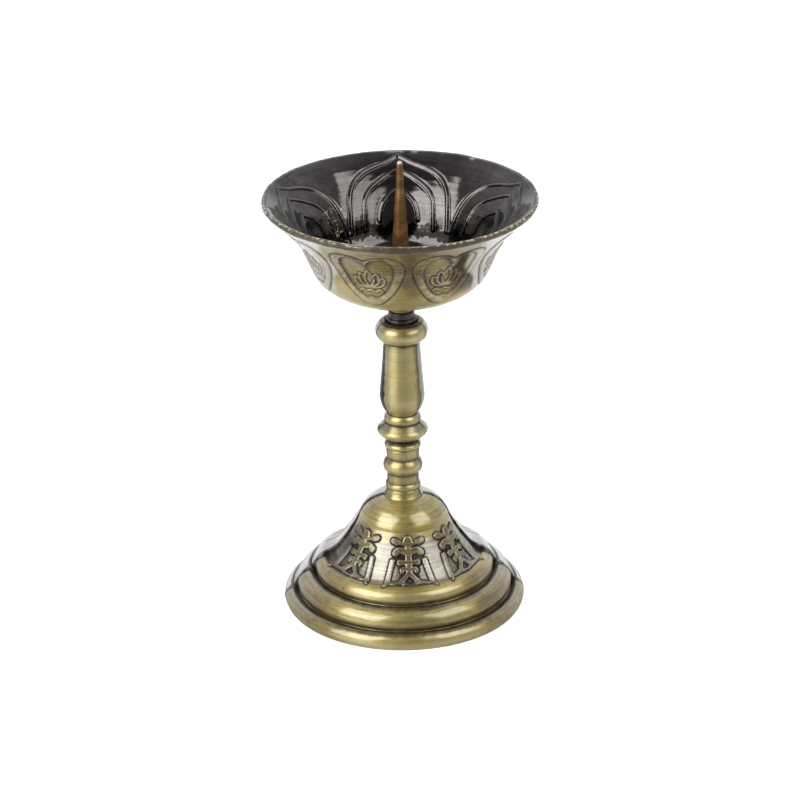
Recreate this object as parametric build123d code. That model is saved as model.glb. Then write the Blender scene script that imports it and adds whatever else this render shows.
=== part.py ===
from build123d import *
import os
from collections import namedtuple
from math import atan2, cos, hypot, pi, sin, sqrt

# Butter lamp: a lotus bowl with a candle spike, on a turned stem and a ringed foot. The foot and the two
# stem parts are drawn up on one threaded rod, and the bowl screws onto the rod's top through its collar.
# Millimetres, Z up, origin at the middle of the foot's underside.

# Foot, a hollow casting: three half-round rings, a flare and a dome
LOW_RING_R = 34.3
LOW_RING_H = 4.6
LOW_RING_CROWN = 2.0        # how far a ring's crest lies inside its belly
MID_RING_INSET = 3.65       # how far a ring's belly lies inside the one below
MID_RING_H = 5.8
MID_RING_CROWN = 3.7
TOP_RING_INSET = 5.2
TOP_RING_H = 4.5
TOP_RING_CROWN = 3.75
RING_BELLY_H = 2.0          # height of a ring's belly above its foot
RING_TUCK = 0.45            # how far a ring's foot lies inside its belly
GROOVE_DEPTH = 0.5          # groove behind a ring's crest
FOOT_TUCK = 0.9
FOOT_LAND = 2.6             # width of the flat that the lamp stands on
FLARE_H = 12.3
FLARE_SAG = 0.8
DOME_R = 12.9
DOME_H = 6.6
DOME_BULGE = 1.5
DOME_SEAT_MARGIN = 0.25     # flat that shows round the stem's skirt
BASE_WALL = 2.4
CROWN_T = 3.6               # thickness of the dome where the rod passes through
CROWN_POCKET_INSET = 2.4    # how far the hollow's roof lies inside its top corner

# Lower stem, turned: skirt, bead, neck, knop, neck, bead, neck, disc, bead
NECK_R = 4.5
SKIRT_R = 5.65
SKIRT_TOP_R = 4.75
SKIRT_H = 2.3
SKIRT_SAG = 0.12
LOW_BEAD_R = 5.05
LOW_BEAD_H = 2.0
LOW_NECK_H = 2.9
KNOP_R = 5.6
KNOP_H = 4.4
MID_NECK_TOP_R = 4.8
MID_NECK_H = 3.2
MID_BEAD_R = 5.2
MID_BEAD_H = 1.9
DISC_NECK_H = 1.8
DISC_R = 7.15
DISC_FOOT_INSET = 1.2       # how far the disc's lower corner lies inside its edge
DISC_UNDER_H = 1.5
DISC_EDGE_H = 0.7
DISC_TOP_H = 2.2
DISC_ROOT_R = 5.0
DISC_BULGE = 0.15
TOP_BEAD_R = 5.25
TOP_BEAD_H = 2.5

# Upper stem, turned: baluster and cup-shaped bulb
BALUSTER_FOOT_R = 4.3
BALUSTER_R = 6.35
BALUSTER_BELLY_H = 5.6      # height of the widest point above the foot
BALUSTER_MID_R = 5.72
BALUSTER_MID_H = 7.4        # above the widest point
BALUSTER_TOP_R = 5.15
BALUSTER_TOP_H = 8.5        # above the middle
SEAM_DEPTH = 0.2
SEAM_H = 0.25
BULB_ROOT_R = 5.3
BULB_R = 7.4
BULB_BELLY_H = 3.3          # height of the widest point above the seam
RECESS_FLOOR_H = 1.2        # floor of the collar's recess above the seam

# Threads and fits
ROD_R = 2.5                 # M5 rod
ROD_PITCH = 0.8
ROD_TURNS = 5.25            # turns of thread inside the collar
SHANK_R = 2.0               # M4 shank of the spike
THREAD_GAP = 0.05           # radial gap between mating threads
HOLE_GAP = 0.25             # radial gap of a clearance hole
END_GAP = 0.4               # free space past the end of a rod, shank or spigot
SPIGOT_WALL = 0.95          # wall of the spigots that centre the stem parts
SPIGOT_H = 2.0
SPIGOT_GAP = 0.05

# Fasteners below the dome
WASHER_R = 6.0
WASHER_T = 1.0
LOCK_R = 4.6
LOCK_T = 1.2
LOCK_SLIT = 0.9
NUT_FLATS = 8.0
NUT_H = 4.0
NUT_CHAMFER = 0.6
ROD_TAIL = 1.5              # rod standing out below the nut
ROD_CHAMFER = 0.4

# Collar below the bowl, and its washer
COLLAR_R = 4.35
COLLAR_H = 5.4
COLLAR_NECK_R = 3.65
COLLAR_NECK_H = 1.8
COLLAR_ROUND = 0.35
COLLAR_WASHER_T = 0.6
WASHER_INSET = 0.1          # how far the leather washer lies inside the collar's edge

# Bowl
BOWL_FOOT_R = 3.2
BOWL_FOOT_H = 2.1
BOWL_BOTTOM_R = 4.8
BOWL_ROUND_R = 11.2
BOWL_ROUND_RISE = 2.4
BOWL_BELLY_R = 22.8
BOWL_BELLY_RISE = 6.2
BOWL_WAIST_R = 26.75
BOWL_WAIST_RISE = 8.4
BOWL_FLARE_INSET = 5.95     # how far the flare's shoulder lies inside the rim
BOWL_FLARE_RISE = 7.6
BOWL_LIP_RISE = 5.4
RIM_R = 38.0
RIM_H = 1.2                 # height of the lip's edge
RIM_T = 1.3                 # width of the lip's flat top
RIM_ROUND = 0.2
BOWL_WALL = 1.8
BOWL_FLOOR_T = 2.0          # thickness of the floor above the bowl's underside

# Spike and its seal
SEAL_R = 4.5
SEAL_T = 0.6
SEAT_MARGIN = 0.5           # flat of the bowl's floor round the seal
SHOULDER_R = 4.2
SHOULDER_T = 1.2
SPIKE_R = 3.1
SPIKE_L = 38.0
SPIKE_TIP_R = 0.75
SHANK_ENGAGE = 2.2          # shank inside the collar

# Outline moves: a bare (radius, height) pair is a straight line to that point
Arc = namedtuple("Arc", "through end")
Curve = namedtuple("Curve", "points")


def at(point):
    """A (radius, height) pair as a point of the XZ plane."""
    radius, height = point
    return (radius, 0, height)


def turned(start, *moves):
    """Solid of revolution about Z from an outline that starts at a point and closes by itself."""
    edges = []
    here = start
    for move in (*moves, start):
        if isinstance(move, Arc):
            edges.append(ThreePointArc(at(here), at(move.through), at(move.end)))
            here = move.end
        elif isinstance(move, Curve):
            edges.append(Spline(*[at(point) for point in (here, *move.points)]))
            here = move.points[-1]
        else:
            edges.append(Line(at(here), at(move)))
            here = move
    return revolve(make_face(edges), axis=Axis.Z)


def ring(outer, inner, low, high):
    """Plain washer or tube between two heights."""
    return turned((inner, low), (outer, low), (outer, high), (inner, high))


def disc(radius, low, high):
    """Plain cylinder on the axis between two heights."""
    return turned((0, low), (radius, low), (radius, high), (0, high))


def bead(belly, root, low, height):
    """Half-round bead that starts and ends at its root radius."""
    return Arc((belly, low + height / 2), (root, low + height))


def bowed(start, end, bulge):
    """Arc whose middle stands off the straight line by a bulge, to the right of the way from start to end."""
    run = (end[0] - start[0], end[1] - start[1])
    length = hypot(*run)
    middle = ((start[0] + end[0]) / 2, (start[1] + end[1]) / 2)
    through = (middle[0] + bulge * run[1] / length, middle[1] - bulge * run[0] / length)
    return Arc(through, end)


def to_belly(start, belly):
    """Arc from a narrower point to a belly, standing upright at the belly."""
    return Arc(upright_middle(start, belly), belly)


def from_belly(belly, end):
    """Arc from a belly, where it stands upright, to a narrower point."""
    return Arc(upright_middle(end, belly), end)


def upright_middle(end, belly):
    """Middle point of the arc between a narrower point and a belly, upright at the belly."""
    inset = belly[0] - end[0]
    rise = belly[1] - end[1]
    radius = (inset**2 + rise**2) / (2 * inset)
    half_angle = atan2(rise, radius - inset) / 2
    return (belly[0] - radius + radius * cos(half_angle), belly[1] - radius * sin(half_angle))


# Radii that several pieces share
ROD_BORE_R = ROD_R + THREAD_GAP
ROD_HOLE_R = ROD_R + HOLE_GAP
SHANK_HOLE_R = SHANK_R + HOLE_GAP
SPIGOT_R = ROD_HOLE_R + SPIGOT_WALL
SOCKET_R = SPIGOT_R + SPIGOT_GAP
MOUTH_R = COLLAR_R + HOLE_GAP
MID_RING_R = LOW_RING_R - MID_RING_INSET
TOP_RING_R = MID_RING_R - TOP_RING_INSET

# Heights of the stack, from the table up
MID_RING_Z = LOW_RING_H - GROOVE_DEPTH
TOP_RING_Z = MID_RING_Z + MID_RING_H - GROOVE_DEPTH
FLARE_Z = TOP_RING_Z + TOP_RING_H
DOME_Z = FLARE_Z + FLARE_H
BASE_TOP = DOME_Z + DOME_H
CROWN_Z = BASE_TOP - CROWN_T

LOW_BEAD_Z = BASE_TOP + SKIRT_H
LOW_NECK_Z = LOW_BEAD_Z + LOW_BEAD_H
KNOP_Z = LOW_NECK_Z + LOW_NECK_H
MID_NECK_Z = KNOP_Z + KNOP_H
MID_BEAD_Z = MID_NECK_Z + MID_NECK_H
DISC_NECK_Z = MID_BEAD_Z + MID_BEAD_H
DISC_Z = DISC_NECK_Z + DISC_NECK_H
DISC_EDGE_Z = DISC_Z + DISC_UNDER_H
DISC_TOP_Z = DISC_EDGE_Z + DISC_EDGE_H
TOP_BEAD_Z = DISC_TOP_Z + DISC_TOP_H
LOWER_TOP = TOP_BEAD_Z + TOP_BEAD_H

BALUSTER_BELLY_Z = LOWER_TOP + BALUSTER_BELLY_H
BALUSTER_MID_Z = BALUSTER_BELLY_Z + BALUSTER_MID_H
SEAM_Z = BALUSTER_MID_Z + BALUSTER_TOP_H
BULB_Z = SEAM_Z + 2 * SEAM_H
BULB_BELLY_Z = BULB_Z + BULB_BELLY_H
BULB_TOP = BULB_BELLY_Z + BULB_R - MOUTH_R
RECESS_FLOOR_Z = BULB_Z + RECESS_FLOOR_H

COLLAR_Z = RECESS_FLOOR_Z + COLLAR_WASHER_T
ROD_TOP = COLLAR_Z + ROD_TURNS * ROD_PITCH
COLLAR_STEP_Z = COLLAR_Z + COLLAR_H
COLLAR_TOP = COLLAR_STEP_Z + COLLAR_NECK_H
BOWL_BOTTOM_Z = COLLAR_TOP + BOWL_FOOT_H
FLOOR_Z = BOWL_BOTTOM_Z + BOWL_FLOOR_T
BOWL_ROUND_Z = BOWL_BOTTOM_Z + BOWL_ROUND_RISE
BOWL_BELLY_Z = BOWL_ROUND_Z + BOWL_BELLY_RISE
BOWL_WAIST_Z = BOWL_BELLY_Z + BOWL_WAIST_RISE
BOWL_FLARE_Z = BOWL_WAIST_Z + BOWL_FLARE_RISE
LIP_Z = BOWL_FLARE_Z + BOWL_LIP_RISE
RIM_TOP = LIP_Z + RIM_H
SHOULDER_Z = FLOOR_Z + SEAL_T
SPIKE_Z = SHOULDER_Z + SHOULDER_T
SPIKE_TOP = SPIKE_Z + SPIKE_L

WASHER_Z = CROWN_Z - WASHER_T
LOCK_Z = WASHER_Z - LOCK_T
NUT_Z = LOCK_Z - NUT_H
ROD_BOTTOM = NUT_Z - ROD_TAIL


def base_ring(belly_r, tuck, crown, low, height):
    """Foot and arc of one of the base's half-round rings."""
    foot = (belly_r - tuck, low)
    return foot, Arc((belly_r, low + RING_BELLY_H), (belly_r - crown, low + height))


def base():
    """Hollow foot: rings, flare and dome outside, a stepped bell inside, and a socket for the stem."""
    low_foot, low_arc = base_ring(LOW_RING_R, FOOT_TUCK, LOW_RING_CROWN, 0, LOW_RING_H)
    mid_foot, mid_arc = base_ring(MID_RING_R, RING_TUCK, MID_RING_CROWN, MID_RING_Z, MID_RING_H)
    top_foot, top_arc = base_ring(TOP_RING_R, RING_TUCK, TOP_RING_CROWN, TOP_RING_Z, TOP_RING_H)
    flare_low = top_arc.end
    flare_high = (DOME_R, DOME_Z)
    dome_top = (SKIRT_R + DOME_SEAT_MARGIN, BASE_TOP)

    # The hollow follows the grooves and the flare at the wall's thickness
    step = BASE_WALL / sqrt(2)
    flare_run = (flare_low[0] - flare_high[0], FLARE_H)
    flare_length = hypot(*flare_run)
    inward = (-BASE_WALL * flare_run[1] / flare_length, -BASE_WALL * flare_run[0] / flare_length)
    bell_low = (flare_low[0] + inward[0], flare_low[1] + inward[1])
    bell_high = (flare_high[0] + inward[0], flare_high[1] + inward[1])
    return turned(
        low_foot,
        low_arc,
        mid_foot,
        mid_arc,
        top_foot,
        top_arc,
        bowed(flare_low, flare_high, -FLARE_SAG),
        bowed(flare_high, dome_top, DOME_BULGE),
        (SOCKET_R, BASE_TOP),
        (SOCKET_R, BASE_TOP - SPIGOT_H - END_GAP),
        (ROD_HOLE_R, BASE_TOP - SPIGOT_H - END_GAP),
        (ROD_HOLE_R, CROWN_Z),
        (bell_high[0] - CROWN_POCKET_INSET, CROWN_Z),
        bell_high,
        bowed(bell_high, bell_low, FLARE_SAG),
        (top_foot[0] - step, top_foot[1] - step),
        (mid_foot[0] - step, mid_foot[1] - step),
        (low_foot[0] - FOOT_LAND, 0),
    )


def lower_stem():
    """Turned stem part with a spigot below and a socket above, bored for the rod."""
    disc_foot = (DISC_R - DISC_FOOT_INSET, DISC_Z)
    return turned(
        (ROD_HOLE_R, BASE_TOP - SPIGOT_H),
        (SPIGOT_R, BASE_TOP - SPIGOT_H),
        (SPIGOT_R, BASE_TOP),
        (SKIRT_R, BASE_TOP),
        bowed((SKIRT_R, BASE_TOP), (SKIRT_TOP_R, LOW_BEAD_Z), -SKIRT_SAG),
        (NECK_R, LOW_BEAD_Z),
        bead(LOW_BEAD_R, NECK_R, LOW_BEAD_Z, LOW_BEAD_H),
        (NECK_R, KNOP_Z),
        bead(KNOP_R, NECK_R, KNOP_Z, KNOP_H),
        (MID_NECK_TOP_R, MID_BEAD_Z),
        (NECK_R, MID_BEAD_Z),
        bead(MID_BEAD_R, NECK_R, MID_BEAD_Z, MID_BEAD_H),
        (NECK_R, DISC_Z),
        disc_foot,
        bowed(disc_foot, (DISC_R, DISC_EDGE_Z), DISC_BULGE),
        (DISC_R, DISC_TOP_Z),
        (DISC_ROOT_R, TOP_BEAD_Z),
        bead(TOP_BEAD_R, NECK_R, TOP_BEAD_Z, TOP_BEAD_H),
        (SOCKET_R, LOWER_TOP),
        (SOCKET_R, LOWER_TOP - SPIGOT_H - END_GAP),
        (ROD_HOLE_R, LOWER_TOP - SPIGOT_H - END_GAP),
    )


def upper_stem():
    """Baluster and bulb, tapped for the rod, with the collar's recess in the bulb."""
    seam = (BALUSTER_TOP_R - SEAM_DEPTH, SEAM_Z + SEAM_H)
    bulb_belly = (BULB_R, BULB_BELLY_Z)
    return turned(
        (ROD_BORE_R, LOWER_TOP - SPIGOT_H),
        (SPIGOT_R, LOWER_TOP - SPIGOT_H),
        (SPIGOT_R, LOWER_TOP),
        (BALUSTER_FOOT_R, LOWER_TOP),
        to_belly((BALUSTER_FOOT_R, LOWER_TOP), (BALUSTER_R, BALUSTER_BELLY_Z)),
        Curve([(BALUSTER_MID_R, BALUSTER_MID_Z), (BALUSTER_TOP_R, SEAM_Z)]),
        seam,
        (BULB_ROOT_R, BULB_Z),
        to_belly((BULB_ROOT_R, BULB_Z), bulb_belly),
        from_belly(bulb_belly, (MOUTH_R, BULB_TOP)),
        (MOUTH_R, RECESS_FLOOR_Z),
        (ROD_BORE_R, RECESS_FLOOR_Z),
    )


def tie_rod():
    """Threaded rod that holds the stand together and carries the collar at its top."""
    return turned(
        (0, ROD_BOTTOM),
        (ROD_R - ROD_CHAMFER, ROD_BOTTOM),
        (ROD_R, ROD_BOTTOM + ROD_CHAMFER),
        (ROD_R, ROD_TOP - ROD_CHAMFER),
        (ROD_R - ROD_CHAMFER, ROD_TOP),
        (0, ROD_TOP),
    )


def lock_washer():
    """Spring washer with its slit."""
    slit = Pos(LOCK_R, 0, LOCK_Z + LOCK_T / 2) * Box(2 * LOCK_R, LOCK_SLIT, 2 * LOCK_T)
    return ring(LOCK_R, ROD_HOLE_R, LOCK_Z, WASHER_Z) - slit


def base_nut():
    """Hexagon nut with its corners chamfered at both ends."""
    corner_r = NUT_FLATS / sqrt(3)
    hexagon = RegularPolygon(NUT_FLATS / 2, 6, major_radius=False)
    blank = Pos(0, 0, NUT_Z) * extrude(hexagon, NUT_H)
    envelope = turned(
        (ROD_BORE_R, NUT_Z),
        (NUT_FLATS / 2, NUT_Z),
        (corner_r, NUT_Z + NUT_CHAMFER),
        (corner_r, LOCK_Z - NUT_CHAMFER),
        (NUT_FLATS / 2, LOCK_Z),
        (ROD_BORE_R, LOCK_Z),
    )
    return blank & envelope


def bowl_collar():
    """Stepped round collar, tapped from below for the rod and from above for the spike."""
    waist = ROD_TOP + END_GAP
    shank_bore_r = SHANK_R + THREAD_GAP
    collar_edge = (COLLAR_R, COLLAR_STEP_Z - COLLAR_ROUND)
    return turned(
        (ROD_BORE_R, COLLAR_Z),
        (COLLAR_R, COLLAR_Z),
        collar_edge,
        bowed(collar_edge, (COLLAR_R - COLLAR_ROUND, COLLAR_STEP_Z), COLLAR_ROUND / 5),
        (COLLAR_NECK_R, COLLAR_STEP_Z),
        (COLLAR_NECK_R, COLLAR_TOP),
        (shank_bore_r, COLLAR_TOP),
        (shank_bore_r, waist),
        (ROD_BORE_R, waist),
    )


def bowl():
    """Bowl with a small foot, a rounded belly, a flared wall and a flat-topped lip."""
    outside = [
        (BOWL_BOTTOM_R, BOWL_BOTTOM_Z),
        (BOWL_ROUND_R, BOWL_ROUND_Z),
        (BOWL_BELLY_R, BOWL_BELLY_Z),
        (BOWL_WAIST_R, BOWL_WAIST_Z),
        (RIM_R - BOWL_FLARE_INSET, BOWL_FLARE_Z),
        (RIM_R - RIM_ROUND, LIP_Z),
    ]
    wall = Spline(*[at(point) for point in outside])
    inside = []
    for point in outside[1:-1]:
        along = wall.tangent_at(at(point))
        inside.append((point[0] - BOWL_WALL * along.Z, point[1] + BOWL_WALL * along.X))
    foot = (BOWL_FOOT_R, COLLAR_TOP)
    floor_edge = (SEAL_R + SEAT_MARGIN, FLOOR_Z)
    lip_inside = (RIM_R - RIM_T, RIM_TOP)
    return turned(
        (SHANK_HOLE_R, COLLAR_TOP),
        foot,
        bowed(foot, outside[0], -BOWL_FOOT_H / 8),
        Curve(outside[1:]),
        Arc((RIM_R, LIP_Z + RIM_H / 2), (RIM_R - RIM_ROUND, RIM_TOP)),
        lip_inside,
        Curve([*reversed(inside), floor_edge]),
        (SHANK_HOLE_R, FLOOR_Z),
    )


def candle_spike():
    """Tapered spike with a rounded tip, on a shoulder with a threaded shank below."""
    shank_end = COLLAR_TOP - SHANK_ENGAGE
    tip_low = SPIKE_TOP - SPIKE_TIP_R
    tip_middle = (SPIKE_TIP_R * cos(pi / 4), tip_low + SPIKE_TIP_R * sin(pi / 4))
    return turned(
        (0, shank_end),
        (SHANK_R, shank_end),
        (SHANK_R, SHOULDER_Z),
        (SHOULDER_R, SHOULDER_Z),
        (SHOULDER_R, SPIKE_Z),
        (SPIKE_R, SPIKE_Z),
        (SPIKE_TIP_R, tip_low),
        Arc(tip_middle, (0, SPIKE_TOP)),
    )


NODES = {
    "base": base(),
    "lower_stem": lower_stem(),
    "upper_stem": upper_stem(),
    "tie_rod": tie_rod(),
    "base_washer": ring(WASHER_R, ROD_HOLE_R, WASHER_Z, CROWN_Z),
    "lock_washer": lock_washer(),
    "base_nut": base_nut(),
    "collar_washer": ring(COLLAR_R - WASHER_INSET, ROD_HOLE_R, RECESS_FLOOR_Z, COLLAR_Z),
    "bowl_collar": bowl_collar(),
    "bowl": bowl(),
    "spike_seal": ring(SEAL_R, SHANK_HOLE_R, FLOOR_Z, SHOULDER_Z),
    "candle_spike": candle_spike(),
}

os.makedirs("parts", exist_ok=True)
for name, solid in NODES.items():
    export_step(solid, f"parts/{name}.step")
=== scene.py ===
import math

import bmesh
import bpy
import numpy as np
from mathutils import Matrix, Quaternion, Vector


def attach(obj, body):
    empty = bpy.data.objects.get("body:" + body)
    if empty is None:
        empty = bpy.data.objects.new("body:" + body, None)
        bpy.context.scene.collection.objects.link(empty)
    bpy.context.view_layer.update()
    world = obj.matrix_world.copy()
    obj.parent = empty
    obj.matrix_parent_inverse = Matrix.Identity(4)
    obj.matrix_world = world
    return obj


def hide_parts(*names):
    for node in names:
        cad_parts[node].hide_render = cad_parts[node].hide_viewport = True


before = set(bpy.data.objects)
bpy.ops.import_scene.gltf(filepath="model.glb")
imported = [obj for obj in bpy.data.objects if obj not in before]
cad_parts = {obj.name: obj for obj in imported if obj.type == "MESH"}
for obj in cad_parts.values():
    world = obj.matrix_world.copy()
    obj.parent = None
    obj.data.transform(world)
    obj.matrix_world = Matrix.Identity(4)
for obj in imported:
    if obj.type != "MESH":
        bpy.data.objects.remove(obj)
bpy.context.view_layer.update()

MM = 0.001
TURN = 360.0

# Camera, fitted to the photograph's frame, in metres and degrees.
CAMERA_PLACE = (0.0, -0.9117, 0.4708)
CAMERA_AIM = (-0.00064, 0.00063, 0.0614)
CAMERA_LENS_MM = 160.19
CAMERA_SENSOR_MM = 36.0
CAMERA_ROLL = -0.66

# Stage, in metres.
SOFTBOX_AIM = (0, 0, 0.08)
SOFTBOX_DISTANCE = 1.0
FLOOR_REACH = 3.0
FLOOR_FRONT = -0.4

# Sampling of the turned outlines, in mm, with the turn of a sharp corner in degrees.
FINE_STEP = 0.04
LINE_PIECE = 0.8
CORNER_TURN = 30.0
CORNER_SOFTNESS = 0.13
RELIEF_ROW = 0.23
PLAIN_ROWS = (0.16, 0.9)
HIDDEN_ROW = 2.0
STEM_ROW = 0.4
SMALL_ROW = 0.3
ROW_PER_ROOT_RADIUS = 0.13

# Columns of each turned grid.
BASE_COLUMNS = 576
STEM_COLUMNS = 192
BOWL_COLUMNS = 640
SMALL_COLUMNS = 96

# How deep in mm the grooves of an outline start to be black and are black, and how high its ridges
# start to be bright and are bright.
GROOVE_DEPTHS = (0.02, 0.3846)
RIDGE_HEIGHTS = (0.02, 0.30)

# Casting seams, as heights in mm with the angles of the left and the right one there, the size of their
# ridge in mm, the degrees from them to extra columns, and how many degrees behind them the plating was
# left unbrushed.
SEAMS = {
    "base": [(0.0, -85.0, 90.5)],
    "lower_stem": [(0.0, -72.0, 69.0)],
    "upper_stem": [(60.0, -52.0, 52.0), (79.6, -64.0, 50.0), (80.3, -68.0, 67.0)],
}
SEAM_HEIGHT = 0.14
SEAM_HALF_WIDTH = 0.16
SEAM_EXTRA_COLUMNS = (0.1, 0.2, 0.32, 0.5, 0.8, 1.3)
UNBRUSHED = (32.0, 54.0)

# The foot's two grooves and the ends of the outline over them, as radius and height in mm. Then, in
# degrees, the middle of its tarnish and where its right and left sides, darker as painted shade, start and
# end.
FOOT_GROOVES = ((30.7, 4.4), (25.4, 9.7))
FOOT_CREST = (34.0, 3.2)
DOME_SHOULDER = (12.0, 28.6)
TARNISH_MIDDLE = -84.0
RIGHT_SIDE = ((5.0, 20.0), (70.0, 110.0))
LEFT_SIDE = ((15.0, 40.0), (110.0, 150.0))

# The flare's lower and upper edge, as radius and height in mm, and its ornaments: the angles of the
# middle ones on the front and the back, the angle from one to the next, and their height in mm.
FLARE_LOW = (23.45, 13.85)
FLARE_HIGH = (12.9, 26.2)
ORNAMENT_MIDDLES = (4.4, 184.4)
ORNAMENT_PITCH = 52.4
ORNAMENT_HEIGHT = 0.55

# Blackened places of the stem in mm: the bulb's mouth round the collar, as radius and least height, and
# the heights of the recess below the disc, black as painted shade, and of the baluster's left side.
BULB_MOUTH = (6.2, 85.0)
DISC_RECESS = (49.5, 51.3)
BALUSTER_SIDE = (59.5, 79.0)

# Bowl landmarks, as radius and height in mm, the length of its outside wall's outline, and the heights
# over which the spike leaves the bowl's floor.
BOWL_BOTTOM = (4.8, 91.3)
BOWL_LIP = (37.9, 121.4)
BOWL_EDGE = (37.95, 122.2)
BOWL_RIM_INSIDE = (36.7, 122.5)
BOWL_FLOOR_EDGE = (5.2, 93.45)
CARVED_FROM = (9.0, 93.5)
OUTSIDE_WALL = 46.8
SPIKE_FOOT = (95.5, 97.0)

# Tones inside the bowl: the radii in mm where the painted reflections end and of a painted dark reflection
# in a ring, and the angles of the two painted reflections.
BOWL_PAINTED_REFLECTION = (20.2, 20.9)
BOWL_DARK_REFLECTION = (22.1, 23.8)
PAINTED_REFLECTION_MIDDLES = (150.0, 203.0)

# Tones outside the bowl, in degrees: where the plated sides start at the edge, how much later for each mm
# below it, where the dark amber starts and the middle of the stain between two hearts, both darkened
# further as painted shade.
PLATED_SIDE = 35.4
PLATED_SLANT = 0.55
BROWN_FROM = 30.0
BETWEEN_HEARTS = 3.0

# Motifs on the bowl: how many go round, with the angle of the first, and the patch of flecks.
HEART_COUNT = 8
HEART_FIRST = -18.2
PETAL_COUNT = 5
PETAL_FIRST = 181.0
FLECKS_ROWS = ((21.6, 101.4), (27.0, 112.4))
FLECKS_MIDDLE = 225.0
FLECKS_HALF_ANGLE = 8.0


# Outlines of the turned nodes

def seam_chain(node):
    """The node's section at angle 0 as ordered points of radius and height in mm, and if it closes."""
    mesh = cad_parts[node].data
    spots = {}
    for vertex in mesh.vertices:
        x, y, z = vertex.co
        if abs(y) < 1e-6 and x > -1e-7:
            spots[vertex.index] = (round(x / MM, 4), round(z / MM, 4))
    links = {}
    for edge in mesh.edges:
        a, b = (spots.get(index) for index in edge.vertices)
        if a and b and a != b:
            links.setdefault(a, set()).add(b)
            links.setdefault(b, set()).add(a)
    ends = [spot for spot in links if len(links[spot]) == 1]
    chain = [min(ends or links, key=lambda spot: (spot[1], spot[0]))]
    while onward := sorted(links[chain[-1]] - set(chain)):
        chain.append(onward[0])
    points = np.array(chain)
    if not ends and enclosed_area(points) < 0:
        points = points[::-1]
    return points, not ends


def enclosed_area(points):
    """Signed area inside a closed chain, positive when it runs anticlockwise."""
    r, z = points.T
    return 0.5 * np.sum(r * np.roll(z, -1) - z * np.roll(r, -1))


def with_lines_cut(points):
    """The same chain with its long straight stretches cut into short ones."""
    pieces = [points[:1]]
    for a, b in zip(points[:-1], points[1:]):
        count = max(1, math.ceil(np.linalg.norm(b - a) / LINE_PIECE))
        shares = np.arange(1, count + 1)[:, None] / count
        pieces.append(a + (b - a) * shares)
    return np.vstack(pieces)


def corner_places(points):
    """Indices of the chain's ends and of its sharp corners."""
    legs = np.diff(points, axis=0)
    headings = np.unwrap(np.arctan2(legs[:, 1], legs[:, 0]))
    sharp = np.abs(np.diff(headings)) > math.radians(CORNER_TURN)
    return [0, *(np.where(sharp)[0] + 1), len(points) - 1]


def smooth_run(points):
    """Evenly sampled points on a smooth curve through one run without corners."""
    legs = np.diff(points, axis=0)
    lengths = np.linalg.norm(legs, axis=1)
    slopes = legs / lengths[:, None]
    if len(points) == 2:
        tangents = np.vstack([slopes, slopes])
    else:
        before, after = lengths[:-1, None], lengths[1:, None]
        middle = (slopes[:-1] * after + slopes[1:] * before) / (before + after)
        first = 2 * slopes[0] - middle[0]
        last = 2 * slopes[-1] - middle[-1]
        tangents = np.vstack([first, middle, last])
    made = []
    for i, length in enumerate(lengths):
        t = np.arange(0, 1, FINE_STEP / length)[:, None]
        made.append(
            (2 * t**3 - 3 * t**2 + 1) * points[i]
            + (t**3 - 2 * t**2 + t) * length * tangents[i]
            + (3 * t**2 - 2 * t**3) * points[i + 1]
            + (t**3 - t**2) * length * tangents[i + 1]
        )
    return np.vstack(made)


def blurred(values, sigma, closed):
    """Values along an outline, softened with a bell of that many samples."""
    reach = max(1, int(4 * sigma))
    bell = np.exp(-0.5 * (np.arange(-reach, reach + 1) / sigma) ** 2)
    bell /= bell.sum()
    padded = np.pad(values, reach, mode="wrap" if closed else "reflect")
    return np.convolve(padded, bell, mode="valid")


def fine_outline(node):
    """The node's outline with rounded corners, as close points in mm, and if it closes."""
    points, closed = seam_chain(node)
    if closed:
        points = np.vstack([points, points[:1]])
    points = with_lines_cut(points)
    corners = corner_places(points)
    runs = [smooth_run(points[a:b + 1]) for a, b in zip(corners[:-1], corners[1:])]
    fine = np.vstack(runs if closed else [*runs, points[-1:]])
    sigma = CORNER_SOFTNESS / FINE_STEP
    soft = np.column_stack([blurred(axis, sigma, closed) for axis in fine.T])
    if not closed:
        soft[[0, -1]] = fine[[0, -1]]
        soft[:, 0] = np.maximum(soft[:, 0], 0)
    return soft, closed


def outline_measures(points, closed):
    """Lengths along the outline, its outward normals and its bending radii."""
    padded = np.pad(points, ((1, 1), (0, 0)), mode="wrap" if closed else "edge")
    tangents = padded[2:] - padded[:-2]
    tangents /= np.maximum(np.linalg.norm(tangents, axis=1), 1e-9)[:, None]
    normals = np.column_stack([tangents[:, 1], -tangents[:, 0]])
    run = np.concatenate([[0], np.cumsum(np.linalg.norm(np.diff(points, axis=0), axis=1))])
    turning = np.linalg.norm(np.gradient(tangents, axis=0), axis=1) / FINE_STEP
    turning = blurred(turning, 6, closed)
    return run, normals, 1 / np.maximum(turning, 1e-4)


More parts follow.
